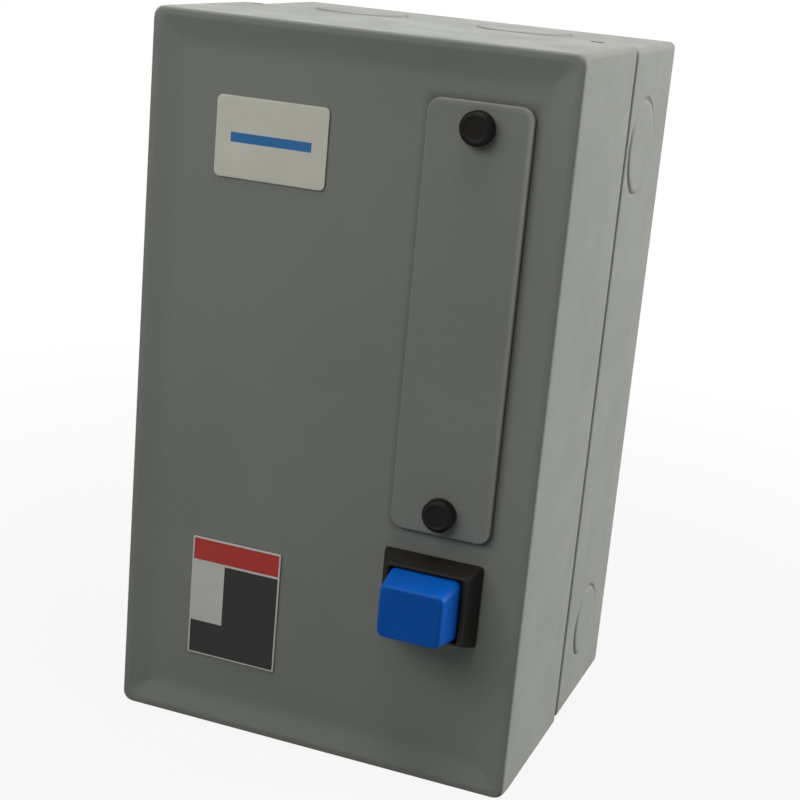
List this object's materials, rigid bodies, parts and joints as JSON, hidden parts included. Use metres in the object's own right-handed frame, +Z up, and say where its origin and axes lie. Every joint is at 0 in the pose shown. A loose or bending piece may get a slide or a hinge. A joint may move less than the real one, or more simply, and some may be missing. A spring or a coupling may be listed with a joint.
{
  "type": "magnetic motor starter",
  "caption": "Wall-mounted motor starter: grey sheet-metal box with a hook-on dished cover, blank plate and blue reset button, over a contactor and an overload relay.",
  "frame": {"origin": "centre of the flat back face of the base box, where it lies on the wall", "axes": "+Y into the wall, so the cover faces -Y; +Z up, along the longest side; +X to the right for someone facing the cover"},
  "size_m": [0.147, 0.1438, 0.2525],
  "materials": {
    "enclosure_paint": "fine-textured grey-green powder coat, satin",
    "black_plastic": "fine satin moulding",
    "blue_plastic": "semi-gloss moulding",
    "zinc_steel": "bright zinc plate",
    "green_zinc": "green dyed plating",
    "dark_moulding": "glass-filled moulding, matt",
    "pale_moulding": "glass-filled moulding, matt",
    "laminations": "stacked steel sheets, lightly oiled",
    "winding_wire": "varnished copper wire",
    "wire_cover": "smooth red insulation",
    "white_sticker": "satin film",
    "notice_sticker": "printed satin film",
    "red_plastic": "semi-gloss moulding",
    "white_plastic": "satin moulding",
    "silver_plate": "silver-plated copper",
    "copper": "bare copper strip",
    "brass": "bright brass",
    "nickel_alloy": "dull resistance strip"
  },
  "bodies": {
    "base": {"base_box": "enclosure_paint", "cover_screw": "zinc_steel", "cover_screw_nut": "zinc_steel", "mounting_plate": "zinc_steel", "plate_screw_upper": "zinc_steel", "plate_screw_lower": "zinc_steel", "ground_screw": "green_zinc", "contactor_base": "dark_moulding", "magnet_core": "laminations", "coil_bobbin": "dark_moulding", "coil_winding": "winding_wire", "return_spring_upper": "zinc_steel", "return_spring_lower": "zinc_steel", "arc_chamber": "pale_moulding", "arc_cover": "dark_moulding", "line_terminal_1": "silver_plate", "line_screw_1": "zinc_steel", "load_strip_1": "copper", "strip_screw_1": "zinc_steel", "line_terminal_2": "silver_plate", "line_screw_2": "zinc_steel", "load_strip_2": "copper", "strip_screw_2": "zinc_steel", "line_terminal_3": "silver_plate", "line_screw_3": "zinc_steel", "load_strip_3": "copper", "strip_screw_3": "zinc_steel", "auxiliary_block": "pale_moulding", "control_wire": "wire_cover", "relay_base": "dark_moulding", "relay_cover": "pale_moulding", "heater_1": "nickel_alloy", "load_screw_1": "brass", "heater_2": "nickel_alloy", "load_screw_2": "brass", "heater_3": "nickel_alloy", "load_screw_3": "brass"},
    "cover": {"cover": "enclosure_paint", "blank_plate": "enclosure_paint", "plate_stud_upper": "black_plastic", "plate_stud_lower": "black_plastic", "rating_sticker": "white_sticker", "notice_sticker": "notice_sticker", "reset_bezel": "black_plastic", "reset_cage": "black_plastic", "reset_spring": "zinc_steel"},
    "reset_button": {"reset_button": "blue_plastic"},
    "contact_carrier": {"armature": "laminations", "crossbar": "black_plastic", "contact_bridge_1": "silver_plate", "contact_bridge_2": "silver_plate", "contact_bridge_3": "silver_plate", "contact_spring_1": "zinc_steel", "contact_spring_2": "zinc_steel", "contact_spring_3": "zinc_steel"},
    "trip_bar": {"trip_bar": "black_plastic"},
    "reset_plunger": {"reset_plunger": "red_plastic"},
    "trip_dial": {"trip_dial": "white_plastic"}
  },
  "joints": [
    {"name": "cover_hinge", "type": "hinge", "parent": "base", "child": "cover", "pos_m": [0, -0.06025, 0.12325], "axis": [-1, 0, 0], "range_deg": [0, 60]},
    {"name": "reset_press", "type": "slide", "parent": "cover", "child": "reset_button", "axis": [0, 1, 0], "range_m": [0, 0.0045], "stiffness_N_per_m": 500, "springref_m": -0.003, "deforming": ["reset_spring"]},
    {"name": "plunger_press", "type": "slide", "parent": "base", "child": "reset_plunger", "axis": [0, 1, 0], "range_m": [0, 0.0045]},
    {"name": "contactor_close", "type": "slide", "parent": "base", "child": "contact_carrier", "axis": [0, 1, 0], "range_m": [0, 0.0047], "stiffness_N_per_m": 800, "springref_m": -0.004, "deforming": ["return_spring_upper", "return_spring_lower"]},
    {"name": "trip_slide", "type": "slide", "parent": "base", "child": "trip_bar", "axis": [1, 0, 0], "range_m": [0, 0.003], "stiffness_N_per_m": 200, "springref_m": -0.002},
    {"name": "dial_turn", "type": "hinge", "parent": "base", "child": "trip_dial", "pos_m": [0, -0.09, -0.047], "axis": [0, 1, 0], "range_deg": [-60, 60]}
  ],
  "couplings": [
    {"joint": "plunger_press", "follows": "reset_press", "ratio": 1}
  ]
}
